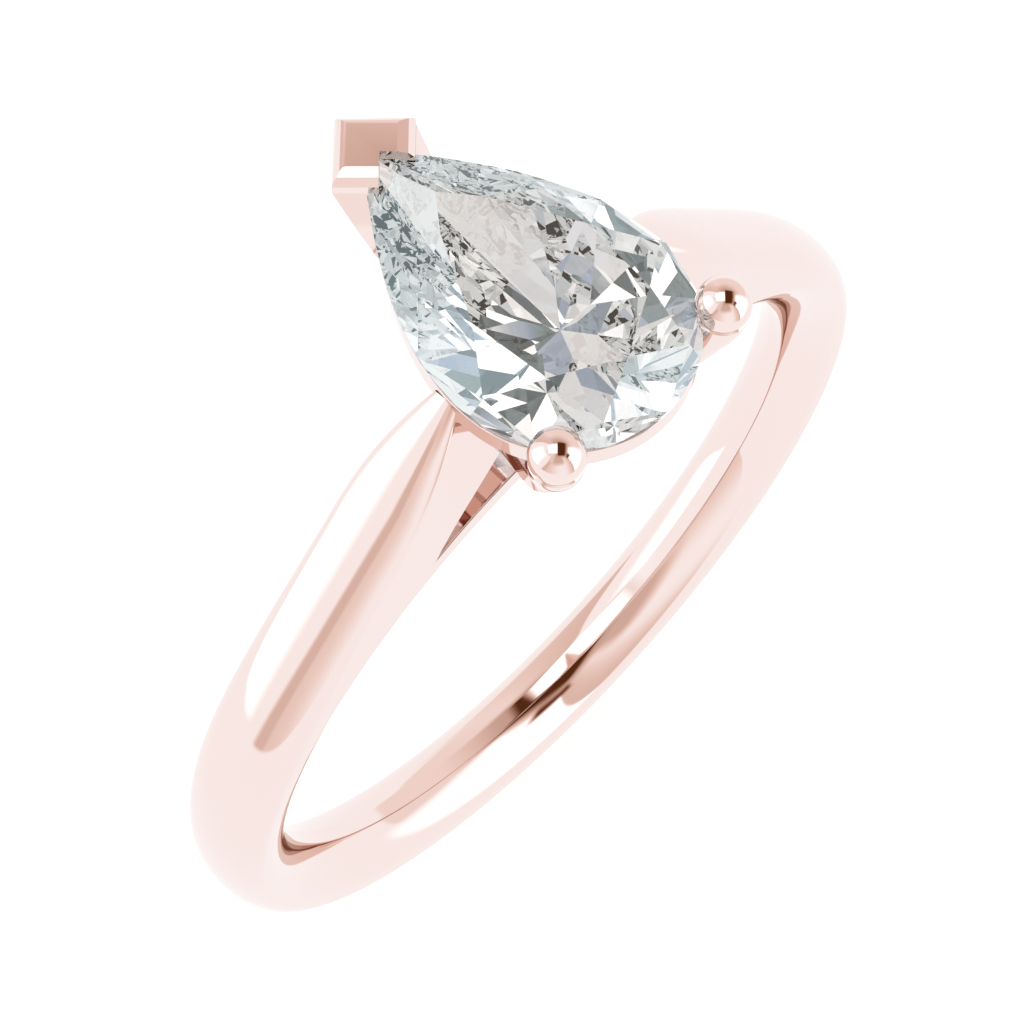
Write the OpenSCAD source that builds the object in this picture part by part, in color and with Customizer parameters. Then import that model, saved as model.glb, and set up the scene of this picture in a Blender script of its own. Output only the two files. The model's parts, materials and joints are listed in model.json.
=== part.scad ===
// Cathedral solitaire ring with a pear-cut stone.
// The origin is the centre of the finger hole. +Z runs up through the stone,
// Y is the axis of the finger hole, and the stone's point is at +Y.

/* [Band] */
// Radius of the finger hole
finger_r = 8.5; // [8.3:0.05:8.7]
// Thickness of the band at its crown
band_t = 1.85; // [1.75:0.01:1.95]
// Width of the band at its widest
band_w = 2.26; // [2.1:0.02:2.5]
// Width of the band under the head
top_w = 1.74; // [1.6:0.02:1.9]
// Height over which the flanks taper from the widest part to the top
taper_h = 4.5; // [3.5:0.1:5.5]
// Width of the strip that lies flat on the finger
finger_flat_w = 0.9; // [0.6:0.02:1.2]
// Height of the domed crown above the widest part of the band
crown_h = 0.65; // [0.55:0.01:0.75]
// Thickness of the arc under the head
bridge_t = 1.0; // [0.9:0.01:1.05]
// Half angle of the arc closed by the bridge
bridge_angle = 12.8; // [12:0.1:14]

/* [Shoulders] */
// Angle from the top of the ring where a shoulder begins to leave the band
leave_angle = 67; // [64:0.5:70]
// Angle from the top of the ring of the lap joint at the foot
foot_angle = 50; // [47:0.5:53]
// Angle from the top of the ring of the lower corner of the window
window_angle = 24; // [23:0.5:25]
// Angle from the top of the ring of the shoulder's upper end
end_angle = 11.4; // [11:0.1:11.8]
// Rise of the shoulder's edge above the band at its upper end
shoulder_rise = 2.9; // [2.8:0.02:2.95]
// How sharply the shoulder sweeps up
sweep_power = 3.1; // [2.9:0.1:3.3]
// Width of the shoulder between its edges at the upper end
shoulder_end_w = 0.62; // [0.5:0.02:0.7]
// Height of the shoulder's end face
shoulder_end_h = 1.55; // [1.4:0.01:1.65]
// Inward lean of the shoulder's end face for each millimetre down
end_lean = 0.3; // [0.26:0.01:0.34]

/* [Stone] */
// Length of the pear
stone_l = 8.02; // [7.9:0.02:8.1]
// Width of the pear
stone_w = 5.22; // [5.1:0.02:5.3]
// Offset of the middle of the pear towards its point
stone_shift = 0.8; // [0.75:0.01:0.85]
// Offset of the culet and of the table's centre towards the point
focus_y = -0.5; // [-0.6:0.02:-0.4]
// Height of the middle of the girdle
girdle_z = 12.85; // [12.82:0.01:12.9]
// Thickness of the girdle
girdle_t = 0.12; // [0.08:0.01:0.14]
// Height of the crown of the stone
crown_rise = 0.74; // [0.68:0.01:0.78]
// Depth of the pavilion
pavilion_h = 2.2; // [2.1:0.01:2.25]
// Width of the table as a share of the stone's width
table_share = 0.58; // [0.54:0.01:0.62]

/* [Head] */
// Diameter of the claw beads
bead_d = 1.08; // [1:0.01:1.12]
// Diameter of the claw wires at the top
claw_d = 1.06; // [1:0.01:1.1]
// Diameter of the claw wires at the foot
claw_foot_d = 0.9; // [0.8:0.01:0.96]
// Outer length of each arm of the chevron claw
chevron_l = 1.36; // [1.3:0.01:1.4]
// Thickness of the arms of the chevron claw
chevron_t = 0.68; // [0.62:0.01:0.7]
// Height of the upper rail
rail_h = 0.52; // [0.46:0.01:0.56]
// Wall of the upper rail at its lower edge
rail_t = 0.6; // [0.55:0.01:0.65]
// Height of the lower plate
base_h = 0.6; // [0.5:0.01:0.7]
// Edge of the lower plate beyond the feet of the claws
base_margin = 0.06; // [0.04:0.01:0.1]
// Diameter of the peg
peg_d = 0.8; // [0.6:0.02:0.9]
// Depth of the peg in the bridge
peg_l = 0.6; // [0.45:0.01:0.65]

/* [Hidden] */
rose_gold = [0.93, 0.72, 0.65];
white_stone = [0.88, 0.92, 0.96];

// Band
crown_r = finger_r + band_t;
edge_r = crown_r - crown_h;
lap_r = finger_r + bridge_t;
reach = 2 * crown_r;
flank_slope = (band_w - top_w) / 2 / taper_h;
dome_ratio = crown_h / (band_w / 2);

// Head
seat_half_w = 1.5;
seat_z = sqrt(lap_r * lap_r - seat_half_w * seat_half_w);
foot_z = seat_z + base_h;
peg_in_base = 0.3;
stone_gap = 0.17;
rail_top_z = girdle_z - girdle_t / 2 - stone_gap;
rail_share = 0.985;
rail_lip_share = 0.962;

// Claws: the bead's centre, then how the wire stands up and leans in below it
bead_x = 2.19;
bead_y = -2.54;
bead_z = 13.28;
claw_top_z = bead_z - 0.18;
claw_elbow_z = 12.75;
claw_lean = [0.38, 0.45];
chevron_y = 5.41;
chevron_z = 13.36;
chevron_elbow_z = 12.95;
chevron_lean = 0.83;

// ---------- shared functions ----------

// A point in the X-Z plane at an angle from the top of the ring.
function polar(radius, angle) = [radius * sin(angle), radius * cos(angle)];
function mix(a, b, k) = a + (b - a) * k;
function flat(list) = [for (row = list) for (item = row) item];

// Half width of the band where its flanks taper, at a height z.
function flank_y(z) = min(band_w / 2, top_w / 2 + flank_slope * max(0, lap_r - z));

// Outline of the pear: 0 is the point, 180 the round end.
pear_power = 0.95;
pear_belly = 0.04;
function pear_raw(t) = sin(t) * pow(abs(sin(t / 2)), pear_power) * (1 + pear_belly * pow(sin(t), 2));
pear_peak = max([for (t = [0 : 180]) pear_raw(t)]);
function pear(t) = [stone_w / 2 * pear_raw(t) / pear_peak, stone_shift + stone_l / 2 * cos(t)];
function pear_outline(share, steps, start = 0.5) =
    [for (i = [0 : steps - 1]) share * pear(360 * (i + start) / steps)];

// Faces of a skin over rings of points, joined end to end or capped with convex parts.
function side_faces(rings, size, closed) =
    [for (i = [0 : rings - (closed ? 1 : 2)]) for (j = [0 : size - 1])
        let (a = i * size + j, b = i * size + (j + 1) % size, next = ((i + 1) % rings - i) * size)
        each [[b, a, b + next], [b + next, a, a + next]]];
function cap_faces(parts, last) = concat(
    [for (part = parts) part],
    [for (part = parts) [for (j = [len(part) - 1 : -1 : 0]) last + part[j]]]);
function whole_cap(size) = [[for (j = [0 : size - 1]) j]];

module skin(rings, closed = false, cap_parts = []) {
    size = len(rings[0]);
    caps = len(cap_parts) > 0 ? cap_parts : whole_cap(size);
    faces = concat(side_faces(len(rings), size, closed), closed ? [] : cap_faces(caps, (len(rings) - 1) * size));
    polyhedron(points = flat(rings), faces = faces, convexity = 6);
}

// ---------- band ----------

// Half of the band's section, from the finger side round to the crown: [radius, y].
section_steps = 10;
half_section = concat(
    [for (i = [0 : section_steps]) let (a = 90 * i / section_steps)
        [edge_r - (edge_r - finger_r) * cos(a), mix(finger_flat_w, band_w, sin(a)) / 2]],
    [for (i = [1 : section_steps]) let (a = 90 * i / section_steps)
        [edge_r + crown_h * sin(a), band_w / 2 * cos(a)]]);

module band_section() {
    mirrored = [for (i = [len(half_section) - 2 : -1 : 0]) [half_section[i][0], -half_section[i][1]]];
    polygon(concat(half_section, mirrored));
}

module flanks() {
    foot_w = top_w / 2 + flank_slope * (lap_r + reach);
    rotate([90, 0, 90])
        linear_extrude(2 * reach, center = true)
            polygon([[-foot_w, -reach], [foot_w, -reach], [top_w / 2, lap_r], [top_w / 2, reach],
                     [-top_w / 2, reach], [-top_w / 2, lap_r]]);
}

module band_ring() {
    intersection() {
        rotate([90, 0, 0]) rotate_extrude($fn = 180) band_section();
        flanks();
    }
}

// A wedge of the ring, centred on the top.
module sector(half_angle) {
    rotate([90, 0, 0])
        linear_extrude(2 * band_w, center = true)
            polygon([[0, 0], polar(reach, -half_angle), polar(reach, 0), polar(reach, half_angle)]);
}

module lap_cylinder() {
    rotate([90, 0, 0]) cylinder(r = lap_r, h = 3 * band_w, center = true, $fn = 180);
}

module shank() {
    color(rose_gold)
        difference() {
            band_ring();
            sector(bridge_angle);
            difference() {
                sector(foot_angle);
                lap_cylinder();
            }
        }
}

module bridge() {
    color(rose_gold)
        difference() {
            intersection() {
                band_ring();
                sector(bridge_angle);
                lap_cylinder();
            }
            translate([-reach, -reach, seat_z]) cube(2 * reach);
            peg(0);
        }
}

// ---------- shoulders ----------

shoulder_stations = 26;
dome_steps = 8;
window_station = 0.72;
window_low = polar(lap_r, window_angle);
shoulder_end = polar(edge_r + shoulder_rise, end_angle);
window_high = shoulder_end - shoulder_end_h * [end_lean, 1];

// The shoulder's edge, where its flank meets the dome, from the foot (0) to the head (1).
function edge_angle(s) = mix(foot_angle, end_angle, s);
function edge_lift(a) = shoulder_rise * pow((leave_angle - a) / (leave_angle - end_angle), sweep_power);
function edge_point(s) = polar(edge_r + edge_lift(edge_angle(s)), edge_angle(s));
function edge_pinch(z) = pow(max(0, z - lap_r) / (shoulder_end[1] - lap_r), 2.2);
function edge_y(z) = flank_y(z) - (top_w - shoulder_end_w) / 2 * edge_pinch(z);

// The underside follows the lap joint, then the edge of the window.
function under_point(s) = s < window_station
    ? polar(lap_r, mix(foot_angle, window_angle, s / window_station))
    : mix(window_low, window_high, (s - window_station) / (1 - window_station));

function shoulder_ring(s) =
    let (edge = edge_point(s), under = under_point(s), half_w = edge_y(edge[1]),
         rise = (edge - under) / norm(edge - under) * half_w * dome_ratio, under_y = flank_y(under[1]))
    concat([[under[0], -under_y, under[1]]],
        [for (i = [0 : 2 * dome_steps]) let (a = 180 - 90 * i / dome_steps, p = edge + rise * sin(a))
            [p[0], half_w * cos(a), p[1]]],
        [[under[0], under_y, under[1]]]);

module shoulder() {
    color(rose_gold)
        difference() {
            skin([for (i = [0 : shoulder_stations]) shoulder_ring(i / shoulder_stations)]);
            translate([0, -band_w / 2, rail_top_z - rail_h])
                cube([rail_share * stone_w / 2, band_w, 2 * rail_h]);
        }
}

module shoulder_right() {
    shoulder();
}

module shoulder_left() {
    mirror([1, 0, 0]) shoulder();
}

// ---------- head ----------

module peg(clearance) {
    translate([0, 0, seat_z - peg_l])
        cylinder(d = peg_d + 2 * clearance, h = peg_l + peg_in_base, $fn = 48);
}

module head_peg() {
    color(rose_gold) peg(0);
}

// A rounded triangle with a corner under each of the three claws.
module base_plate() {
    tip_ring = chevron_ring(foot_z, chevron_foot);
    translate([0, 0, seat_z])
        linear_extrude(base_h)
            hull() {
                translate([0, tip_ring[1][1]]) circle(r = tip_ring[5][0] + base_margin, $fn = 36);
                for (side = [-1, 1])
                    translate(wire_xy(side, foot_z)) circle(d = claw_foot_d + 2 * base_margin, $fn = 36);
            }
}

module head_base() {
    color(rose_gold)
        difference() {
            base_plate();
            peg(0);
        }
}

// Section of the upper rail: an upright outside and a seat that clears the pavilion.
rail_steps = 64;
function rail_ring(t) =
    let (low = rail_top_z - rail_h, inner_share = rail_share - rail_t / (stone_w / 2))
    [for (corner = [[rail_share, rail_top_z], [rail_lip_share, rail_top_z], [inner_share, low], [rail_share, low]])
        [corner[0] * pear(t)[0], corner[0] * pear(t)[1], corner[1]]];

module rail_skin() {
    skin([for (i = [0 : rail_steps - 1]) rail_ring(360 * (i + 0.5) / rail_steps)], closed = true);
}

module gallery_rail() {
    color(rose_gold)
        difference() {
            rail_skin();
            chevron_gap();
        }
}

// ---------- claws ----------

claw_sides = 28;
claw_bend = 0.35;
claw_stations = 7;

// How far the wire has leaned in at a height z, with a smooth bend at the elbow.
function lean_run(z) = let (d = claw_elbow_z - z) (d + sqrt(d * d + claw_bend * claw_bend)) / 2;
function wire_run(z) = lean_run(z) - lean_run(claw_top_z);
function wire_xy(side, z) =
    [side * (bead_x - claw_lean[0] * wire_run(z)), bead_y + claw_lean[1] * wire_run(z)];
function wire_ring(side, z) =
    let (k = (claw_top_z - z) / (claw_top_z - foot_z), r = mix(claw_d, claw_foot_d, k) / 2, c = wire_xy(side, z))
    [for (i = [0 : claw_sides - 1]) [c[0] + r * cos(360 * i / claw_sides), c[1] + r * sin(360 * i / claw_sides), z]];

module claw_wire(side) {
    bend_heights = [for (i = [0 : claw_stations]) mix(claw_elbow_z - 1, claw_top_z, i / claw_stations)];
    skin([for (z = concat([foot_z], bend_heights)) wire_ring(side, z)]);
}

// The bead stands flat on the end of its wire.
module bead(side) {
    translate([side * bead_x, bead_y, bead_z])
        difference() {
            sphere(d = bead_d, $fn = 48);
            translate([-bead_d, -bead_d, claw_top_z - bead_z - 2 * bead_d]) cube(2 * bead_d);
        }
}

module claw(side) {
    color(rose_gold)
        difference() {
            claw_wire(side);
            rail_skin();
            stone_body();
        }
}

module claw_left() {
    claw(-1);
}

module claw_right() {
    claw(1);
}

module claw_ball(side) {
    color(rose_gold)
        difference() {
            bead(side);
            stone_body();
        }
}

module claw_ball_left() {
    claw_ball(-1);
}

module claw_ball_right() {
    claw_ball(1);
}

// The chevron claw and its leg: [height, size] of each ring, the foot first.
chevron_foot = 0.67;
chevron_levels = [[foot_z, chevron_foot], [chevron_elbow_z - 0.75, 0.95], [chevron_elbow_z, 1], [chevron_z, 1]];

function chevron_ring(z, size) =
    let (a = size * chevron_l / sqrt(2), b = size * chevron_t / sqrt(2),
         y = chevron_y - chevron_lean * max(0, chevron_elbow_z - z))
    [[0, y, z], [-a, y - a, z], [b - a, y - a - b, z], [0, y - 2 * b, z], [a - b, y - a - b, z], [a, y - a, z]];

module chevron() {
    skin([for (level = chevron_levels) chevron_ring(level[0], level[1])], cap_parts = [[0, 1, 2, 3], [0, 3, 4, 5]]);
}

// Everything beyond the ends of the chevron's two arms, which the upper rail stops at.
module chevron_gap() {
    skin([for (level = chevron_levels) let (ring = chevron_ring(level[0], level[1]), z = level[0])
        [ring[1], ring[2], ring[4], ring[5], [stone_w / 2, stone_l, z], [-stone_w / 2, stone_l, z]]]);
}

module v_prong() {
    color(rose_gold)
        difference() {
            chevron();
            stone_body();
        }
}

// ---------- stone ----------

mains = 8;
girdle_steps = 48;
crown_z = girdle_z + girdle_t / 2;
under_z = girdle_z - girdle_t / 2;
focus = [0, focus_y];
culet = [0, focus_y, under_z - pavilion_h];
star_height = 0.52;
half_depth = 0.76;

function lift(p, z) = [p[0], p[1], z];
function tangent(t) = let (d = pear(t + 1) - pear(t - 1)) lift(d / norm(d), 0);
function table_point(t) = lift(focus + table_share * (pear(t) - focus), crown_z + crown_rise);

// Normal of the main facet that holds the girdle's tangent at t and a point.
function main_normal(t, z, point) = cross(tangent(t), point - lift(pear(t), z));

// The point at a height where two neighbouring main facets meet.
function meet(t0, p0, t1, p1, base_z, z) =
    let (n0 = main_normal(t0, base_z, p0), n1 = main_normal(t1, base_z, p1),
         d0 = n0 * p0 - n0[2] * z, d1 = n1 * p1 - n1[2] * z, det = n0[0] * n1[1] - n0[1] * n1[0])
    [(d0 * n1[1] - d1 * n0[1]) / det, (n0[0] * d1 - n1[0] * d0) / det, z];

function main_angle(i) = 360 * i / mains;
stone_points = concat(
    [for (i = [0 : mains - 1]) table_point(main_angle(i))],
    [for (i = [0 : mains - 1]) let (a = main_angle(i), b = main_angle(i + 1))
        meet(a, table_point(a), b, table_point(b), crown_z, crown_z + star_height * crown_rise)],
    [for (p = pear_outline(1, girdle_steps, 0)) lift(p, crown_z)],
    [for (p = pear_outline(1, girdle_steps, 0)) lift(p, under_z)],
    [for (i = [0 : mains - 1]) meet(main_angle(i), culet, main_angle(i + 1), culet, under_z,
        under_z - half_depth * pavilion_h)],
    [culet]);

module stone_body() {
    hull() polyhedron(points = stone_points, faces = [[for (i = [0 : len(stone_points) - 1]) i]]);
}

module pear_diamond() {
    color(white_stone) stone_body();
}

// ---------- assembly ----------

shank();
bridge();
shoulder_left();
shoulder_right();
head_base();
head_peg();
gallery_rail();
v_prong();
claw_left();
claw_right();
claw_ball_left();
claw_ball_right();
pear_diamond();
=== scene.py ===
"""The looks of a cathedral solitaire ring with a pear-cut stone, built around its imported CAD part.

Sizes are in millimetres in the part's own frame: +Z up through the stone, Y along the finger hole.
"""

import json
import math

import bmesh
import bpy
import numpy as np
from mathutils import Matrix, Vector


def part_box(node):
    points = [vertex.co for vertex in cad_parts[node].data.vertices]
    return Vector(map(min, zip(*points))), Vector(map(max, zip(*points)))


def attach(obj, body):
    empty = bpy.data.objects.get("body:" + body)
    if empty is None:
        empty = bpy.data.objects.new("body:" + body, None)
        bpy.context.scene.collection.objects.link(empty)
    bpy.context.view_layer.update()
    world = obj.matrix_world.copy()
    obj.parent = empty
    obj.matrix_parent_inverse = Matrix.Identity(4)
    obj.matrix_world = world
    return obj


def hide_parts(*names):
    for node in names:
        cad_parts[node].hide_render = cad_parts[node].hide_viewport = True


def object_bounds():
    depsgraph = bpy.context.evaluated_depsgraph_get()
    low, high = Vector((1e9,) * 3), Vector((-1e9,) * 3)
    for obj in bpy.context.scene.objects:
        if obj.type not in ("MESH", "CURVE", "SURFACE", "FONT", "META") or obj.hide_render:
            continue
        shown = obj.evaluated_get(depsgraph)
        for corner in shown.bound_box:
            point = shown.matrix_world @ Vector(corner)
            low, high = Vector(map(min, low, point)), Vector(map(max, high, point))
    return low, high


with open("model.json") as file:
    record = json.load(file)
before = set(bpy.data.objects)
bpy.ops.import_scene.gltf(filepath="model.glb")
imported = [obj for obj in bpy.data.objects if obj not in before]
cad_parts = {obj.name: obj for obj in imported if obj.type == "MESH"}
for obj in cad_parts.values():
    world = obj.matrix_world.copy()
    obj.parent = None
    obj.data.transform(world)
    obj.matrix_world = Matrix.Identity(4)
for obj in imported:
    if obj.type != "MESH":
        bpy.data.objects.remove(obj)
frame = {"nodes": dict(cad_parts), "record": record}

cad_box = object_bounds()
MM = 0.001


# ---------- sizes, from the frame ----------

def box_mm(node):
    """Lowest and highest corner of a CAD node, in millimetres."""
    low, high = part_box(node)
    return np.array(low) / MM, np.array(high) / MM


shank_low, shank_high = box_mm("shank")
bridge_low, bridge_high = box_mm("bridge")
stone_low, stone_high = box_mm("pear_diamond")
rail_low, rail_high = box_mm("gallery_rail")
prong_high = box_mm("v_prong")[1]
base_low, base_high = box_mm("head_base")
ball_low, ball_high = box_mm("claw_ball_right")

# Edges: the rounding of a bared edge, and a hairline that only keeps an outline's points apart
bare_edge = 0.04
hairline = 0.0005

# Band: radii from the finger hole's centre, heights above it, angles in degrees from the top
finger_r = frame["record"]["mounts"][0]["dims"]["r_mm"]
strip_w = 0.4
strip_crease = 16
crown_r = -shank_low[2]
band_w = shank_high[1] - shank_low[1]
top_w = bridge_high[1] - bridge_low[1]
lap_r = math.hypot(shank_high[2], bridge_high[0])
bridge_angle = math.degrees(math.atan2(bridge_high[0], shank_high[2]))
seat_z = base_low[2]
dome_ratio = 0.575
section_edge = 0.05
edge_r = crown_r - dome_ratio * band_w / 2
taper_h = 4.5
flank_slope = (band_w - top_w) / 2 / taper_h
flank_spare = 0.01
flank_ease = 0.08
taper_ease = 0.1
arch_step = 0.6

# Shoulders: where each leaves the band, its foot, its window and its upper end, then how it sweeps up
leave_angle = 67
foot_angle = 50
window_angle = 24
end_angle = 11.4
shoulder_rise = 2.9
sweep_power = 3.1
shoulder_end_w = 0.62
shoulder_end_h = 1.55
end_lean = 0.3
window_station = 0.72
pinch_power = 2.2

# Stone: its facets meet at focus_y, seen from above
stone_l = stone_high[1] - stone_low[1]
stone_w = stone_high[0] - stone_low[0]
stone_shift = (stone_high[1] + stone_low[1]) / 2
focus_y = -0.5
stone_gap = 0.17
girdle_t = 0.12
under_z = rail_high[2] + stone_gap
crown_z = under_z + girdle_t
girdle_sides = 72
mains = 8
star_share = 0.52
half_share = 0.76
table_z = stone_high[2]
culet_z = stone_low[2]
table_share = 0.62
# the gap left between the stone and the metal that holds it
seat_gap = 0.008

# Gallery rail: its edges as shares of the stone's outline, and where its ends meet the chevron
rail_outer = 0.985
rail_lip = 0.962
rail_inner = 0.755
rail_edge = 0.05
rail_start = 27

# Claws and their beads
bead_r = 0.54
bead_centre = np.array([ball_high[0] - bead_r, ball_low[1] + bead_r, ball_high[2] - bead_r])
claw_r = 0.53
claw_foot_r = 0.45
claw_groove = 0.06
claw_lean = np.array([0.38, 0.45])
claw_elbow_z = 12.75
claw_elbow_h = 1
claw_bend = 0.35
claw_top_z = ball_low[2]
claw_straight_z = claw_elbow_z - claw_elbow_h

# Chevron claw, slightly bigger than in the CAD, and the lower plate
chevron_longer = 0.22
chevron_outward = 0.205
chevron_l = prong_high[0] * math.sqrt(2) + chevron_longer
chevron_t = 0.9
chevron_y = prong_high[1] + chevron_outward
chevron_head_h = 0.41
chevron_neck_h = 0.75
chevron_soft = 0.27
chevron_sharp = 0.08
# the slopes at its arms' ends: how far back along the top each starts, and its normal's height in degrees
chevron_slopes = [(0.34, 75), (0.175, 40)]
chevron_lean = 0.83
chevron_elbow_z = prong_high[2] - chevron_head_h
chevron_waist_z = chevron_elbow_z - chevron_neck_h
chevron_waist = 0.95
chevron_foot = 0.67
plate_margin = 0.06
plate_edge = 0.05


# ---------- helpers ----------

def polar(radius, angle):
    """X and Z of a point of the ring, at an angle in degrees from its top."""
    a = np.radians(angle)
    return np.array([radius * np.sin(a), radius * np.cos(a)])


def mix(a, b, k):
    return a + (b - a) * k


def smooth_min(a, b, k):
    """The smaller of a and b, rounded off where they are within k of each other."""
    h = max(k - abs(a - b), 0) / k
    return min(a, b) - h * h * k / 4


def arc(steps, start=0, end=90):
    """Angles in radians from start to end, both in degrees."""
    return np.radians(np.linspace(start, end, steps + 1))


def rounded(points, corners, size, steps=4):
    """A closed outline with the corners at these indices rounded off over a length of size."""
    out = []
    for i, p in enumerate(points):
        if i not in corners:
            out.append(p)
            continue
        before = points[i - 1] - p
        after = points[(i + 1) % len(points)] - p
        a = p + before * min(size / np.linalg.norm(before), 0.45)
        b = p + after * min(size / np.linalg.norm(after), 0.45)
        for t in np.linspace(0, 1, steps + 1):
            out.append((1 - t) ** 2 * a + 2 * t * (1 - t) * p + t * t * b)
    return np.array(out)


class Skin:
    """Faces with a normal at each corner. Corners that meet are welded."""

    def __init__(self):
        self.points, self.index, self.faces, self.normals = [], {}, [], []

    def corner(self, p):
        """The index of the point at p, which is added if it's new."""
        key = tuple(np.round(p, 5) + 0.0)
        if key not in self.index:
            self.index[key] = len(self.points)
            self.points.append(key)
        return self.index[key]

    def face(self, corners, normals):
        """Adds a face, unless its corners run together."""
        ids = [self.corner(p) for p in corners]
        keep = [k for k, i in enumerate(ids) if i != ids[k - 1]]
        if len(set(ids)) >= 3 and len(keep) == len(set(ids)):
            self.faces.append([ids[k] for k in keep])
            self.normals.extend(normals[k] for k in keep)

    def loft(self, rings):
        """Joins rings of points. The first and last ring only set the normals."""
        rings = np.array(rings)
        along = rings[2:] - rings[:-2]
        around = np.roll(rings, -1, axis=1)[1:-1] - np.roll(rings, 1, axis=1)[1:-1]
        normals = np.cross(around, along)
        normals /= np.linalg.norm(normals, axis=2, keepdims=True) + 1e-12
        rings = rings[1:-1]
        for i in range(len(rings) - 1):
            for k in range(rings.shape[1]):
                m = (k + 1) % rings.shape[1]
                at = [(i, k), (i, m), (i + 1, m), (i + 1, k)]
                self.face([rings[a] for a in at], [normals[a] for a in at])

    def cap(self, ring, outward):
        """Closes an end with one flat face that looks outward."""
        n = np.array(outward, float) / np.linalg.norm(outward)
        turn = sum(np.cross(ring[k - 1], ring[k]) for k in range(len(ring)))
        if np.dot(turn, n) < 0:
            ring = ring[::-1]
        self.face(list(ring), [n] * len(ring))

    def build(self, name):
        """The piece, in the scene."""
        mesh = bpy.data.meshes.new(name)
        mesh.from_pydata([Vector(p) * MM for p in self.points], [], self.faces)
        mesh.shade_smooth()
        mesh.normals_split_custom_set([Vector(n) for n in self.normals])
        piece = bpy.data.objects.new(name, mesh)
        bpy.context.scene.collection.objects.link(piece)
        return piece


def from_bmesh(bm, name):
    """A piece from a bmesh in millimetres, which is freed."""
    bmesh.ops.recalc_face_normals(bm, faces=bm.faces)
    bm.transform(Matrix.Scale(MM, 4))
    mesh = bpy.data.meshes.new(name)
    bm.to_mesh(mesh)
    bm.free()
    piece = bpy.data.objects.new(name, mesh)
    bpy.context.scene.collection.objects.link(piece)
    return piece


def apply_modifiers(piece):
    """Makes the modified shape the piece's own mesh."""
    bpy.context.view_layer.update()
    mesh = bpy.data.meshes.new_from_object(piece.evaluated_get(bpy.context.evaluated_depsgraph_get()))
    piece.modifiers.clear()
    piece.data = mesh
    return piece


def cut(piece, cutter):
    """Takes another piece's solid out of this one."""
    modifier = piece.modifiers.new("cut", "BOOLEAN")
    modifier.operation = "DIFFERENCE"
    modifier.solver = "MANIFOLD"
    modifier.object = cutter
    return apply_modifiers(piece)


def trim(piece, point, normal):
    """Cuts away everything in front of a plane and closes the cut."""
    bm = bmesh.new()
    bm.from_mesh(piece.data)
    parts = bm.verts[:] + bm.edges[:] + bm.faces[:]
    made = bmesh.ops.bisect_plane(bm, geom=parts, plane_co=Vector(point) * MM, plane_no=Vector(normal),
                                  clear_outer=True)
    rim = [g for g in made["geom_cut"] if isinstance(g, bmesh.types.BMEdge)]
    bmesh.ops.contextual_create(bm, geom=rim)
    bmesh.ops.recalc_face_normals(bm, faces=bm.faces)
    bm.to_mesh(piece.data)
    bm.free()


def bevel(piece, width, segments=3, limit="ANGLE"):
    """Rounds off edges: all that are sharper than 30 degrees, or each by its own weight."""
    modifier = piece.modifiers.new("bevel", "BEVEL")
    modifier.width = width * MM
    modifier.segments = segments
    modifier.limit_method = limit
    modifier.angle_limit = math.radians(30)
    return apply_modifiers(piece)


def shade(piece, angle):
    """Smooth shading with flat faces kept flat, and edges over this angle left sharp."""
    piece.data.shade_smooth()
    piece.data.set_sharp_from_angle(angle=math.radians(angle))
    modifier = piece.modifiers.new("flat", "WEIGHTED_NORMAL")
    modifier.keep_sharp = True
    modifier.weight = 100
    return apply_modifiers(piece)


# ---------- band ----------

def smooth_floor(x, k):
    """x where it is positive and nothing below, rounded off near zero."""
    return (x + math.sqrt(x * x + k * k)) / 2


def flank_y(z):
    """Half width of the band between its flanks, at a height z."""
    tapered = top_w / 2 + flank_slope * smooth_floor(lap_r - z, taper_ease)
    return smooth_min(band_w / 2 + flank_spare, tapered, flank_ease)


def lift(angle):
    """How far the shoulder's upper edge stands outside the round band."""
    return shoulder_rise * (max(0, leave_angle - angle) / (leave_angle - end_angle)) ** sweep_power


def edge_y(z):
    """Half width of the ring where its crown starts, pinched towards the head."""
    pinch = (max(0, z - lap_r) / (edge_top_z - lap_r)) ** pinch_power
    return flank_y(z) - (top_w - shoulder_end_w) / 2 * pinch


def inner_curve(angle):
    """[radius, y] of the rounded edge beside the strip on the finger, then of the flank up to the lap."""
    rise = edge_r + lift(max(angle, foot_angle)) - finger_r
    start_cos, start_sin = math.cos(math.radians(strip_crease)), math.sin(math.radians(strip_crease))

    def on_ellipse(t):
        a = math.radians(t)
        across = (math.sin(a) - start_sin) / (1 - start_sin)
        return finger_r + rise * (start_cos - math.cos(a)) / start_cos, mix(strip_w, band_w, across) / 2

    def angle_at(r):
        return math.degrees(math.acos(start_cos * (1 - (r - finger_r) / rise)))

    def over(t):
        r, y = on_ellipse(t)
        return y - flank_y(r * math.cos(math.radians(angle)))

    low, high = strip_crease, angle_at(lap_r) - 4
    if over(high) > 0:
        for _ in range(30):
            middle = (low + high) / 2
            low, high = (low, middle) if over(middle) > 0 else (middle, high)
    turn = high
    curve = [on_ellipse(t) for t in np.linspace(strip_crease, turn, 17)]
    flank = []
    for r in np.linspace(on_ellipse(turn)[0], lap_r, 6)[1:]:
        y = on_ellipse(angle_at(r))[1]
        flank.append((r, smooth_min(y, flank_y(r * math.cos(math.radians(angle))), 0.004)))
    return np.array(curve + flank), len(curve) - 1


def ring_section(angle, outer):
    """A closed section of the ring at an angle from the top. outer gives the [radius, y] beyond the lap."""
    inner, turn = inner_curve(abs(angle))
    half = np.concatenate([[[finger_r, 0]], inner, outer(abs(angle))])
    left = half[1:-1][::-1] * [1, -1]
    loop = np.concatenate([half, left])
    loop = rounded(loop, [1, 1 + turn, len(loop) - 1 - turn, len(loop) - 1], section_edge)
    x, z = polar(loop[:, 0], angle)
    return np.stack([x, loop[:, 1], z], axis=1)


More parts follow.
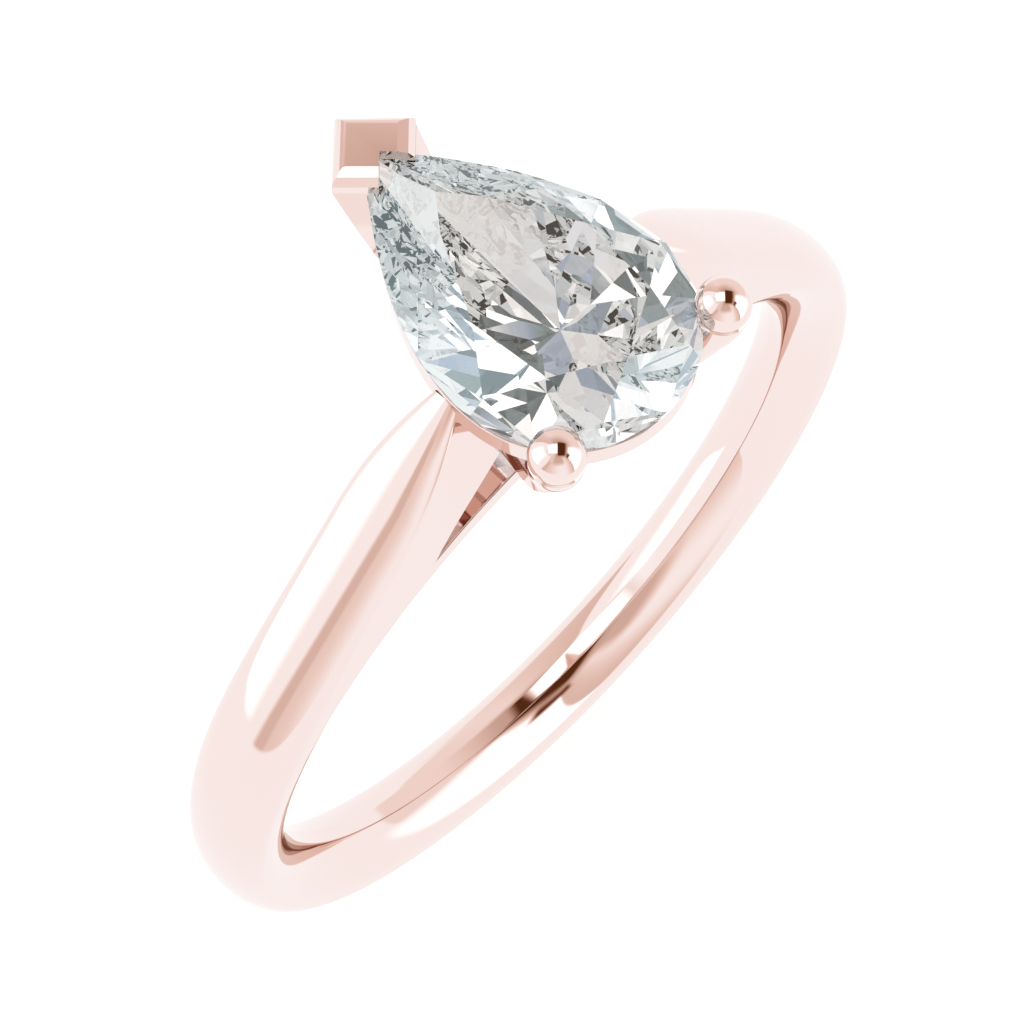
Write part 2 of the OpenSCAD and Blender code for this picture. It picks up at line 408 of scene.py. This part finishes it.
def dome(angle):
    """[radius, y] of the flank above the lap and of the domed crown."""
    r = edge_r + lift(angle)
    w = edge_y(r * math.cos(math.radians(angle)))
    below = inner_curve(angle)[0][-1]
    flank = [mix(below, np.array([r, w]), k) for k in (0.33, 0.66)]
    crown = [[r + w * dome_ratio * math.sin(t), w * math.cos(t)] for t in arc(24)]
    return np.array(flank + crown)


def flat_top(top_of):
    """[radius, y] of a flat top at top_of(angle), with a rounded edge where the window bares it."""
    def outer(angle):
        y = inner_curve(angle)[0][-1][1]
        top = top_of(angle)
        bare = bare_edge if angle < window_angle else hairline
        edge = [[top - bare * (1 - math.sin(t)), y - bare * (1 - math.cos(t))] for t in arc(5)]
        flat = [[top, (y - bare) * k] for k in np.linspace(1, 0, 22)[1:]]
        return np.array(edge + flat)
    return outer


def lap_top(angle):
    """The arch's top, which the shoulder laps over."""
    return lap_r


def seat_top(angle):
    """The bridge's top, cut level under the head."""
    return min(lap_r, seat_z / math.cos(math.radians(angle)))


edge_top_z = polar(edge_r + shoulder_rise, end_angle)[1]


def shank():
    """The band, and the thin arch that runs on under the window on each side."""
    skin = Skin()
    arch_angles = np.append(np.arange(bridge_angle, foot_angle, arch_step), foot_angle)
    full_angles = np.linspace(foot_angle, 360 - foot_angle, 430)
    for side in (1, -1):
        rings = [ring_section(side * a, flat_top(lap_top)) for a in arch_angles]
        first = ring_section(side * (bridge_angle - arch_step), flat_top(lap_top))
        last = ring_section(side * (foot_angle + arch_step), flat_top(lap_top))
        path = [first] + rings + [last]
        skin.loft(path if side > 0 else path[::-1])
        skin.cap(rings[0], [-side, 0, 0])
        outward = ring_section(side * foot_angle, dome)
        # the step up from the arch to the whole band, which the shoulder's foot covers
        n = np.array([-side * math.cos(math.radians(foot_angle)), 0, math.sin(math.radians(foot_angle))])
        for k in range(len(outward)):
            m = (k + 1) % len(outward)
            skin.face([rings[-1][k], rings[-1][m], outward[m], outward[k]][::side], [n] * 4)
    turned = [a if a <= 180 else a - 360 for a in full_angles]
    rings = [ring_section(a, dome) for a in turned]
    first = ring_section(foot_angle - arch_step, dome)
    last = ring_section(-(foot_angle - arch_step), dome)
    skin.loft([first] + rings + [last])
    return skin.build("band_shank")


def bridge():
    """The arc under the head, with a fine joint line at each end."""
    angles = np.linspace(-bridge_angle, bridge_angle, 45)
    rings = [ring_section(a, flat_top(seat_top)) for a in angles]
    skin = Skin()
    skin.loft([2 * rings[0] - rings[1]] + rings + [2 * rings[-1] - rings[-2]])
    skin.cap(rings[0], [-1, 0, 0])
    skin.cap(rings[-1], [1, 0, 0])
    return skin.build("band_bridge")


# ---------- shoulders ----------

window_low = polar(lap_r, window_angle)
shoulder_end = polar(edge_r + shoulder_rise, end_angle)
window_high = shoulder_end - shoulder_end_h * np.array([end_lean, 1])


def shoulder_section(s, side):
    """A closed section of a shoulder, from its foot (0) to the head (1)."""
    angle = mix(foot_angle, end_angle, s)
    edge = polar(edge_r + lift(angle), angle)
    if s < window_station:
        under = polar(lap_r, mix(foot_angle, window_angle, s / window_station))
        size = hairline
    else:
        k = (s - window_station) / (1 - window_station)
        under = mix(window_low, window_high, k)
        size = min(hairline + 0.4 * k, bare_edge)
    w = edge_y(edge[1])
    rise = (edge - under) / np.linalg.norm(edge - under) * w * dome_ratio
    under_y = flank_y(under[1])
    half = [[under[0], under_y, under[1]]]
    for k in (0.25, 0.5, 0.75):
        p = mix(under, edge, k)
        half.append([p[0], mix(under_y, w, k), p[1]])
    for t in arc(24):
        p = edge + rise * math.sin(t)
        half.append([p[0], w * math.cos(t), p[1]])
    half = np.array(half)
    left = half[:-1][::-1] * [1, -1, 1]
    floor = [[under[0], -under_y * k, under[1]] for k in (0.5, 0, -0.5)]
    loop = np.concatenate([half, left, floor])
    last = len(half) + len(left) - 1
    return rounded(loop, [0, last], size) * [side, 1, 1]


def shoulder(side, name):
    """A cathedral shoulder, from its foot on the band up to the head."""
    stations = np.linspace(0, 1, 91)
    rings = [shoulder_section(s, side) for s in stations]
    first, last = (shoulder_section(s, side) for s in (-0.01, 1.01))
    path = [first] + rings + [last]
    skin = Skin()
    skin.loft(path[::-1] if side > 0 else path)
    skin.cap(rings[0], [side, 0, -1])
    skin.cap(rings[-1], [-side, 0, 0])
    return skin.build(name)


# ---------- stone ----------

pear_power = 0.95
pear_belly = 0.04


def pear_raw(t):
    """The outline's half width before it is scaled, for t in radians."""
    return math.sin(t) * abs(math.sin(t / 2)) ** pear_power * (1 + pear_belly * math.sin(t) ** 2)


pear_peak = max(pear_raw(math.radians(t)) for t in range(181))


def pear(degrees, share=1.0):
    """X and Y of the stone's outline: 0 is the point, 180 the round end."""
    t = math.radians(degrees)
    return share * np.array([stone_w / 2 * pear_raw(t) / pear_peak, stone_shift + stone_l / 2 * math.cos(t)])


def at_height(xy, z):
    return np.array([xy[0], xy[1], z])


def main_plane(t, z, point):
    """Point and outward normal of the facet along the girdle at t, through a point above or below it."""
    edge = pear(t + 1) - pear(t - 1)
    base = at_height(pear(t), z)
    n = np.cross(at_height(edge, 0), point - base)
    n /= np.linalg.norm(n)
    return base, n if np.dot(n[:2], pear(t) - [0, focus_y]) > 0 else -n


def meet(one, other, z):
    """Where two facets' planes cross at a height."""
    (p, n), (q, m) = one, other
    left = np.array([n[:2], m[:2]])
    right = np.array([np.dot(n, p) - n[2] * z, np.dot(m, q) - m[2] * z])
    return at_height(np.linalg.solve(left, right), z)


def plane_through(a, b, c, centre):
    """Point and normal of the plane through three points, looking away from the centre."""
    n = np.cross(b - a, c - a)
    n /= np.linalg.norm(n)
    return a, n if np.dot(n, a - centre) > 0 else -n


def facet_planes():
    """The planes of a pear brilliant: table, mains, stars and halves above, mains and halves below."""
    turn = 360 / mains
    focus = np.array([0, focus_y])
    centre = at_height(focus, mix(under_z, culet_z, 0.5))
    culet = at_height(focus, culet_z)
    planes = [(at_height(focus, table_z), np.array([0, 0, 1.0]))]
    table = [at_height(focus + table_share * (pear(turn * i) - focus), table_z) for i in range(mains)]
    crown = [main_plane(turn * i, crown_z, table[i]) for i in range(mains)]
    pavilion = [main_plane(turn * i, under_z, culet) for i in range(mains)]
    planes += crown + pavilion
    for i in range(mains):
        j = (i + 1) % mains
        star = meet(crown[i], crown[j], mix(crown_z, table_z, star_share))
        deep = meet(pavilion[i], pavilion[j], mix(under_z, culet_z, half_share))
        planes.append(plane_through(table[i], table[j], star, centre))
        for a, b in ((turn * i, turn * (i + 0.5)), (turn * (i + 0.5), turn * (i + 1))):
            for z, tip in ((crown_z, star), (under_z, deep)):
                planes.append(plane_through(tip, at_height(pear(a), z), at_height(pear(b), z), centre))
    return planes


def facet_outline(plane, others):
    """The corners of a plane's facet: a wide square cut by every other plane in turn."""
    point, normal = plane
    side = np.cross(normal, [0, 0, 1] if abs(normal[2]) < 0.9 else [1, 0, 0])
    side /= np.linalg.norm(side)
    up = np.cross(normal, side)
    reach = 4 * stone_l
    outline = [point + reach * (a * side + b * up) for a, b in ((1, 1), (-1, 1), (-1, -1), (1, -1))]
    for q, m in others:
        heights = [np.dot(p - q, m) for p in outline]
        kept = []
        for k in range(len(outline)):
            p, h, before, h_before = outline[k], heights[k], outline[k - 1], heights[k - 1]
            if (h > 0) != (h_before > 0):
                kept.append(before + (p - before) * h_before / (h_before - h))
            if h <= 0:
                kept.append(p)
        outline = kept
        if len(outline) < 3:
            return []
    return outline


def pear_stone(name, grow=0.0):
    """The stone, or the stone grown outwards: each facet is worked out from the planes around it."""
    weld = 2e-4
    rim = [at_height(pear(360 * i / girdle_sides), 0) for i in range(girdle_sides)]
    girdle = []
    for i in range(girdle_sides):
        along = rim[i] - rim[i - 1]
        girdle.append((rim[i], np.array([along[1], -along[0], 0]) / np.linalg.norm(along)))
    if np.dot(girdle[0][1], rim[0] - at_height([0, focus_y], 0)) < 0:
        girdle = [(p, -n) for p, n in girdle]
    planes = [(p + n * grow, n) for p, n in facet_planes() + girdle]
    points, faces = np.zeros((0, 3)), []
    for i, plane in enumerate(planes):
        face = []
        for p in facet_outline(plane, planes[:i] + planes[i + 1:]):
            near = np.nonzero(np.abs(points - p).max(axis=1) < weld)[0]
            if not len(near):
                near = [len(points)]
                points = np.vstack([points, p])
            if near[0] not in face:
                face.append(near[0])
        if len(face) > 2:
            faces.append(face)
    mesh = bpy.data.meshes.new(name)
    mesh.from_pydata([Vector(p) * MM for p in points], [], faces)
    mesh.validate()
    mesh.shade_flat()
    piece = bpy.data.objects.new(name, mesh)
    bpy.context.scene.collection.objects.link(piece)
    return piece


# ---------- head ----------

def rail_section(t):
    """A closed section of the upper rail: an upright outside, and a seat that clears the pavilion."""
    top, low = rail_high[2], rail_low[2]
    corners = [(rail_outer, top), (rail_lip, top), (rail_inner, low), (rail_outer, low)]
    loop = []
    for (share, z), (share_b, z_b) in zip(corners, corners[1:] + corners[:1]):
        for k in (0, 0.5):
            loop.append(at_height(pear(t, mix(share, share_b, k)), mix(z, z_b, k)))
    return rounded(np.array(loop), [0, 2, 4, 6], rail_edge)


def gallery_rail():
    """The open rail that follows the stone from one side of the chevron to the other."""
    rings = [rail_section(t) for t in np.linspace(rail_start, 360 - rail_start, 260)]
    skin = Skin()
    skin.loft([rail_section(rail_start - 1)] + rings + [rail_section(361 - rail_start)])
    skin.cap(rings[0], [0, 1, 0])
    skin.cap(rings[-1], [0, 1, 0])
    return skin.build("head_gallery_rail")


def circle(centre, radius, sides):
    """A level ring of points."""
    around = np.arange(sides) * 2 * math.pi / sides
    return centre + radius * np.stack([np.cos(around), np.sin(around), np.zeros(sides)], axis=1)


def claw_ring(side, z):
    """A claw's section at a height: upright under its bead, and leaning inwards below its elbow."""
    def run(height):
        d = claw_elbow_z - height
        return (d + math.sqrt(d * d + claw_bend ** 2)) / 2

    lean = run(z) - run(claw_top_z)
    x = side * (bead_centre[0] - claw_lean[0] * lean)
    y = bead_centre[1] + claw_lean[1] * lean
    r = mix(claw_r, claw_foot_r, (claw_top_z - z) / (claw_top_z - base_high[2]))
    return circle([x, y, z], r, 64)


def claw(side, name):
    """A claw's wire, from the lower plate up to its bead, seated round the stone."""
    heights = list(np.linspace(base_high[2], claw_straight_z, 8)[:-1])
    heights += list(np.linspace(claw_straight_z, claw_top_z, 24)[:-1])
    rings = [claw_ring(side, z) for z in heights + [claw_top_z - claw_groove]]
    top = claw_ring(side, claw_top_z).mean(axis=0)
    rim = rings[-1] - rings[-1].mean(axis=0)
    for k in (0.3, 0.6, 1):
        rings.append(top + rim * (1 - k * claw_groove / claw_r) - [0, 0, claw_groove * (1 - k)])
    skin = Skin()
    skin.loft([claw_ring(side, heights[0] - 0.1)] + rings + [2 * rings[-1] - rings[-2]])
    skin.cap(rings[0], [0, 0, -1])
    skin.cap(rings[-1], [0, 0, 1])
    return skin.build(name)


def claw_ball(side, name):
    """The bead on a claw, flat where it stands on its wire."""
    low = math.degrees(math.asin((claw_top_z - bead_centre[2]) / bead_r))
    rings = []
    for t in np.radians(np.linspace(low, 89.9, 49)):
        centre = bead_centre * [side, 1, 1] + [0, 0, bead_r * math.sin(t)]
        rings.append(circle(centre, bead_r * math.cos(t), 96))
    skin = Skin()
    skin.loft([2 * rings[0] - rings[1]] + rings + [2 * rings[-1] - rings[-2]])
    skin.cap(rings[0], [0, 0, -1])
    skin.cap(rings[-1], [0, 0, 1])
    return skin.build(name)


def chevron_ring(z, size):
    """The chevron's outline at a height: its outer corner first, then round by the left arm."""
    a = size * chevron_l / math.sqrt(2)
    b = size * chevron_t / math.sqrt(2)
    y = chevron_y - chevron_lean * max(0, chevron_elbow_z - z)
    outline = [(0, y), (-a, y - a), (b - a, y - a - b), (0, y - 2 * b), (a - b, y - a - b), (a, y - a)]
    return [at_height(p, z) for p in outline]


def v_prong():
    """The chevron claw that guards the stone's point, with its leg."""
    levels = [(base_high[2], chevron_foot), (chevron_waist_z, chevron_waist), (chevron_elbow_z, 1),
              (prong_high[2], 1)]
    bm = bmesh.new()
    rings = [[bm.verts.new(p) for p in chevron_ring(z, size)] for z, size in levels]
    for low, high in zip(rings, rings[1:]):
        for k in range(6):
            m = (k + 1) % 6
            bm.faces.new([low[k], low[m], high[m], high[k]])
    bm.faces.new(rings[0][::-1])
    bm.faces.new(rings[-1])
    softness = bm.edges.layers.float.new("bevel_weight_edge")
    outer = [rings[-1][k] for k in (5, 0, 1)]
    for edge in bm.edges:
        if edge.verts[0] in outer and edge.verts[1] in outer:
            edge[softness] = 1
        elif edge.calc_face_angle(0) > math.radians(30):
            edge[softness] = chevron_sharp
    piece = bevel(from_bmesh(bm, "head_v_prong"), chevron_soft, 8, "WEIGHT")
    for side, corner in ((-1, 1), (1, 5)):
        outwards = np.array([side, -1, 0]) / math.sqrt(2)
        end = chevron_ring(prong_high[2], 1)[corner]
        for back, height in chevron_slopes:
            a = math.radians(height)
            trim(piece, end - outwards * back, outwards * math.cos(a) + [0, 0, math.sin(a)])
    return piece


def head_base():
    """The lower plate: a rounded triangle with a corner under each claw."""
    arm_end = chevron_ring(base_high[2], chevron_foot)[5]
    foot = claw_ring(1, base_high[2]).mean(axis=0)
    corners = [(0, arm_end[1], arm_end[0] + plate_margin)]
    corners += [(side * foot[0], foot[1], claw_foot_r + plate_margin) for side in (1, -1)]
    bm = bmesh.new()
    for x, y, r in corners:
        for z in (base_low[2], base_high[2]):
            for p in circle([x, y, z], r, 72):
                bm.verts.new(p)
    hull = bmesh.ops.convex_hull(bm, input=bm.verts)
    inside = [g for g in hull["geom_interior"] + hull["geom_unused"] if isinstance(g, bmesh.types.BMVert)]
    bmesh.ops.delete(bm, geom=list(set(inside)), context="VERTS")
    bmesh.ops.dissolve_limit(bm, angle_limit=math.radians(1), verts=bm.verts, edges=bm.edges)
    return from_bmesh(bm, "head_lower_plate")


# ---------- materials ----------

def new_material(name):
    """A material, and its shader."""
    material = bpy.data.materials.new(name)
    material.use_nodes = True
    return material, material.node_tree.nodes["Principled BSDF"]


def noise(material, scale, detail):
    """A noise's output, in the object's own coordinates."""
    nodes = material.node_tree.nodes
    texture = nodes.new("ShaderNodeTexNoise")
    texture.inputs["Scale"].default_value = scale
    texture.inputs["Detail"].default_value = detail
    place = nodes.new("ShaderNodeTexCoord")
    material.node_tree.links.new(place.outputs["Object"], texture.inputs["Vector"])
    return texture.outputs["Fac"]


def rose_gold():
    """Polished rose gold with an uneven haze."""
    material, shader = new_material("rose_gold_polished")
    links = material.node_tree.links
    shader.inputs["Base Color"].default_value = (0.93, 0.775, 0.735, 1)
    shader.inputs["Metallic"].default_value = 1
    rough = material.node_tree.nodes.new("ShaderNodeMapRange")
    rough.inputs["To Min"].default_value = 0.03
    rough.inputs["To Max"].default_value = 0.06
    links.new(noise(material, 900, 3), rough.inputs["Value"])
    links.new(rough.outputs["Result"], shader.inputs["Roughness"])
    return material


def diamond():
    """Clear diamond, tinted from faintly blue to faintly green across its facets."""
    material, shader = new_material("clear_diamond")
    links = material.node_tree.links
    tint = material.node_tree.nodes.new("ShaderNodeValToRGB")
    tint.color_ramp.elements[0].position = 0.4
    tint.color_ramp.elements[0].color = (0.92, 0.955, 1, 1)
    tint.color_ramp.elements[1].position = 0.6
    tint.color_ramp.elements[1].color = (0.985, 1, 0.985, 1)
    links.new(noise(material, 420, 1), tint.inputs["Fac"])
    links.new(tint.outputs["Color"], shader.inputs["Base Color"])
    shader.inputs["Transmission Weight"].default_value = 1
    shader.inputs["IOR"].default_value = 2.417
    shader.inputs["Specular Tint"].default_value = (0.78, 0.96, 1, 1)
    shader.inputs["Roughness"].default_value = 0
    return material


# ---------- pieces ----------

GOLD = rose_gold()
CLEAR = diamond()


def settle(piece, material, slot, *nodes):
    """Gives a piece its material and its place in the part. Rays out of the stone pass the gold by."""
    piece.data.materials.clear()
    piece.data.materials.append(material)
    piece.visible_transmission = material != GOLD
    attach(piece, "root")
    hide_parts(*nodes)


settle(pear_stone("pear_diamond_cut"), CLEAR, "diamond", "pear_diamond")
seat = pear_stone("stone_seat", seat_gap)
settle(shank(), GOLD, "rose_gold", "shank")
settle(bridge(), GOLD, "rose_gold", "bridge")
settle(shoulder(-1, "shoulder_left_cast"), GOLD, "rose_gold", "shoulder_left")
settle(shoulder(1, "shoulder_right_cast"), GOLD, "rose_gold", "shoulder_right")
settle(gallery_rail(), GOLD, "rose_gold", "gallery_rail")
settle(shade(bevel(head_base(), plate_edge), 40), GOLD, "rose_gold", "head_base")
settle(shade(cut(v_prong(), seat), 13), GOLD, "rose_gold", "v_prong")
for side, word in ((-1, "left"), (1, "right")):
    settle(shade(cut(claw(side, "claw_wire_" + word), seat), 40), GOLD, "rose_gold", "claw_" + word)
    settle(shade(cut(claw_ball(side, "claw_bead_" + word), seat), 40), GOLD, "rose_gold", "claw_ball_" + word)
bpy.data.objects.remove(seat)
frame["nodes"]["head_peg"].material_slots[0].material = GOLD


# ---------- camera ----------

camera_azimuth = -45.11
camera_elevation = 65.34
camera_place = (-14.79, -13.96, 47.88)
camera_lens = 76.07
camera_sensor = 36


def camera():
    """The photograph's view."""
    azimuth, elevation = math.radians(camera_azimuth), math.radians(camera_elevation)
    level = math.cos(elevation)
    back = Vector((math.sin(azimuth) * level, -math.cos(azimuth) * level, math.sin(elevation)))
    data = bpy.data.cameras.new("camera")
    data.lens = camera_lens
    data.sensor_width = camera_sensor
    data.clip_start = 0.001
    data.clip_end = 50
    eye = bpy.data.objects.new("camera", data)
    bpy.context.scene.collection.objects.link(eye)
    eye.location = Vector(camera_place) * MM
    eye.rotation_euler = back.to_track_quat("Z", "Y").to_euler()
    bpy.context.scene.camera = eye


camera()


# ---------- floor and light ----------

def floor():
    """A plain white floor that neither the gold nor the stone shows."""
    bm = bmesh.new()
    bmesh.ops.create_grid(bm, x_segments=1, y_segments=1, size=2)
    mesh = bpy.data.meshes.new("floor")
    bm.to_mesh(mesh)
    bm.free()
    ground = bpy.data.objects.new("floor", mesh)
    ground.location.z = cad_box[0][2]
    bpy.context.scene.collection.objects.link(ground)
    material, shader = new_material("floor_white")
    shader.inputs["Base Color"].default_value = (0.5, 0.5, 0.5, 1)
    shader.inputs["Roughness"].default_value = 0.9
    shader.inputs["Emission Color"].default_value = (1, 1, 1, 1)
    shader.inputs["Emission Strength"].default_value = 0.75
    mesh.materials.append(material)
    ground.visible_glossy = False
    ground.visible_transmission = False


class Sums:
    """Small shader sums on one node tree."""

    def __init__(self, tree):
        self.nodes, self.links = tree.nodes, tree.links

    def put(self, socket, value):
        if isinstance(value, (int, float, tuple)):
            socket.default_value = value
        else:
            self.links.new(value, socket)

    def math(self, operation, *values):
        node = self.nodes.new("ShaderNodeMath")
        node.operation = operation
        for socket, value in zip(node.inputs, values):
            self.put(socket, value)
        return node.outputs[0]

    def dot(self, vector, fixed):
        node = self.nodes.new("ShaderNodeVectorMath")
        node.operation = "DOT_PRODUCT"
        self.put(node.inputs[0], vector)
        self.put(node.inputs[1], fixed)
        return node.outputs["Value"]

    def ramp(self, value, start, end, low=0.0, high=1.0):
        """low before start, high after end, and a smooth step between."""
        if start > end:
            start, end, low, high = end, start, high, low
        node = self.nodes.new("ShaderNodeMapRange")
        node.interpolation_type = "SMOOTHSTEP"
        for socket, v in zip(node.inputs, (value, start, end, low, high)):
            self.put(socket, v)
        return node.outputs[0]

    def window(self, value, start, end, soft_start, soft_end):
        """1 between start and end, with soft edges."""
        rise = self.ramp(value, start - soft_start / 2, start + soft_start / 2)
        fall = self.ramp(value, end - soft_end / 2, end + soft_end / 2, 1.0, 0.0)
        return self.math("MULTIPLY", rise, fall)

    def mix(self, base, other, mask):
        """base where the mask is 0, other where it is 1."""
        change = self.math("SUBTRACT", other, base)
        return self.math("MULTIPLY_ADD", change, mask, base)

    def mix_colours(self, base, other, mask):
        node = self.nodes.new("ShaderNodeMix")
        node.data_type = "RGBA"
        self.put(node.inputs["Factor"], mask)
        self.put(node.inputs["A"], base)
        self.put(node.inputs["B"], other)
        return node.outputs["Result"]

    def colours(self, value, stops):
        """A colour ramp, from (position, colour) pairs."""
        node = self.nodes.new("ShaderNodeValToRGB")
        self.put(node.inputs[0], value)
        stop_list = node.color_ramp.elements
        while len(stop_list) < len(stops):
            stop_list.new(0.5)
        for element, (position, colour) in zip(stop_list, stops):
            element.position = position
            element.color = (*colour, 1)
        return node.outputs["Color"]


# the brightest level in the studio, where 1 is its plain white
TOP_LEVEL = 1.5


class Studio:
    """A white studio whose panels are laid one over another, by bearing and height in degrees."""

    def __init__(self, tree):
        self.sums = Sums(tree)
        place = tree.nodes.new("ShaderNodeTexCoord")
        self.direction = place.outputs["Generated"]
        height = self.sums.dot(self.direction, (0, 0, 1))
        self.height = self.sums.math("DEGREES", self.sums.math("ARCSINE", height))
        self.level = 1.0

    def bearing(self, centre):
        """Degrees round from a bearing."""
        a = math.radians(centre)
        front = self.sums.dot(self.direction, (math.cos(a), math.sin(a), 0))
        side = self.sums.dot(self.direction, (-math.sin(a), math.cos(a), 0))
        return self.sums.math("DEGREES", self.sums.math("ARCTAN2", side, front))

    def wall(self, centre, across, up, level, slope=0.0, lean=0.0):
        """A panel: across and up are (start, end, soft start, soft end). A pair of levels runs across it."""
        bearing = self.bearing(centre)
        sloped = self.sums.math("MULTIPLY_ADD", bearing, -slope, self.height)
        leant = self.sums.math("MULTIPLY_ADD", self.height, -lean, bearing)
        mask = self.sums.math("MULTIPLY", self.sums.window(leant, *across), self.sums.window(sloped, *up))
        if isinstance(level, tuple):
            level = self.sums.ramp(leant, across[0], across[1], *level)
        self.level = self.sums.mix(self.level, level, mask)

    def ceiling(self, along, across, level, bearing=45):
        """A panel overhead, in slopes from upright."""
        a = math.radians(bearing)
        up = self.sums.math("MAXIMUM", self.sums.dot(self.direction, (0, 0, 1)), 0.05)
        one = self.sums.math("DIVIDE", self.sums.dot(self.direction, (math.cos(a), math.sin(a), 0)), up)
        two = self.sums.math("DIVIDE", self.sums.dot(self.direction, (math.sin(a), -math.cos(a), 0)), up)
        mask = self.sums.math("MULTIPLY", self.sums.window(one, *along), self.sums.window(two, *across))
        mask = self.sums.math("MULTIPLY", mask, self.sums.ramp(self.height, 5, 15))
        self.level = self.sums.mix(self.level, level, mask)


# Colours of the studio's levels, from black to the top level: as the metal sees them, and as the stone does
WARM_TONES = [
    (0.0, (0.03, 0.009, 0.003)),
    (0.02, (0.06, 0.018, 0.006)),
    (0.15, (0.25, 0.135, 0.095)),
    (0.42, (0.523, 0.412, 0.365)),
    (0.52, (0.60, 0.515, 0.478)),
    (0.66, (0.685, 0.71, 0.726)),
    (1.0, (1, 1, 1)),
]
STONE_TONES = [
    (0.0, (0.012, 0.014, 0.015)),
    (0.25, (0.045, 0.05, 0.053)),
    (0.4, (0.09, 0.115, 0.11)),
    (0.5, (0.2, 0.235, 0.31)),
    (0.62, (0.37, 0.385, 0.39)),
    (0.68, (0.6, 0.595, 0.59)),
    (1.0, (1, 1, 0.99)),
]
STONE_GREY = (0.38, 0.4, 0.395, 1)


def lay_panels(room):
    """Lays the studio's panels, the later ones over the earlier ones."""
    # walls, each at one level or with one running across it
    room.wall(75, (-30, 23.5, 20, 1.5), (-11, 70, 6, 12), (1.0, 0.64))
    room.wall(220, (-36, 20, 3, 3), (-12, 70, 1, 12), (0.73, 1.0))
    room.wall(235, (-30, 44, 20, 8), (29, 80, 22, 12), 0.54)
    room.wall(183, (-6, 6, 6, 5), (-12, 32, 1, 10), 0.6, lean=0.3)
    room.wall(270, (-14, 11.5, 16, 1), (-26, 70, 6, 12), (0.95, 0.62))
    room.wall(20, (-50, 45, 20, 20), (-3, 85, 4, 8), 0.84)
    room.wall(20, (-60, 60, 20, 20), (44, 85, 36, 8), 0.5)
    room.wall(150, (-20, 30, 14, 14), (52, 80, 16, 8), 0.75)
    # two soft boxes, and a narrow dark panel above them
    room.wall(140, (-24, 18, 14, 12), (-15, 40, 2, 16), 1.5, slope=0.22)
    room.wall(305, (-24, 24, 1, 20), (-18, 46, 12, 18), 1.5, slope=0.25)
    room.wall(285, (-9, 12, 3, 8), (37, 70, 10, 8), 0.04)
    # the ceiling: a grey field, with a dark panel and a bright one in it
    room.ceiling((-0.64, 0.64, 0.3, 0.3), (-0.1, 0.8, 0.1, 0.35), 0.45)
    room.ceiling((-0.5, 0.5, 0.14, 0.1), (0.03, 0.62, 0.04, 0.26), 0.03)
    room.ceiling((-0.3, 0.36, 0.12, 0.1), (-0.68, 0.01, 0.16, 0.05), 1.5)


def studio():
    """The world: the studio for reflections and for the stone, and plain white behind the ring."""
    world = bpy.data.worlds.new("studio")
    world.use_nodes = True
    bpy.context.scene.world = world
    tree = world.node_tree
    room = Studio(tree)
    lay_panels(room)
    sums = room.sums
    path = tree.nodes.new("ShaderNodeLightPath")
    depth = path.outputs["Ray Depth"]
    inside = sums.math("GREATER_THAN", path.outputs["Transmission Depth"], 0.5)
    # light that the gold has reflected more than once is dimmed, so its crevices stay dark
    buried = sums.math("SUBTRACT", sums.ramp(depth, 1.5, 5.5, 0.0, 0.9), inside)
    open_share = sums.math("SUBTRACT", 1.0, sums.math("MAXIMUM", buried, 0.0))
    tone = sums.math("DIVIDE", sums.math("MULTIPLY", room.level, open_share), TOP_LEVEL)
    # long paths inside the stone fade to an even grey, which keeps its facets broad
    long_path = sums.ramp(depth, 4.5, 12, 0.0, 0.78)
    stone = sums.mix_colours(sums.colours(tone, STONE_TONES), STONE_GREY, long_path)
    lit = tree.nodes["Background"]
    lit.inputs["Strength"].default_value = TOP_LEVEL
    sums.put(lit.inputs["Color"], sums.mix_colours(sums.colours(tone, WARM_TONES), stone, inside))
    white = tree.nodes.new("ShaderNodeBackground")
    white.inputs["Color"].default_value = (1, 1, 1, 1)
    seen = tree.nodes.new("ShaderNodeMixShader")
    sums.put(seen.inputs["Fac"], path.outputs["Is Camera Ray"])
    sums.put(seen.inputs[1], lit.outputs["Background"])
    sums.put(seen.inputs[2], white.outputs["Background"])
    sums.put(tree.nodes["World Output"].inputs["Surface"], seen.outputs["Shader"])


floor()
studio()
bpy.context.scene.view_settings.view_transform = "Standard"
# a path crosses the stone many times before it leaves
cycles = bpy.context.scene.cycles
cycles.max_bounces = 20
cycles.glossy_bounces = 16
cycles.transmission_bounces = 20
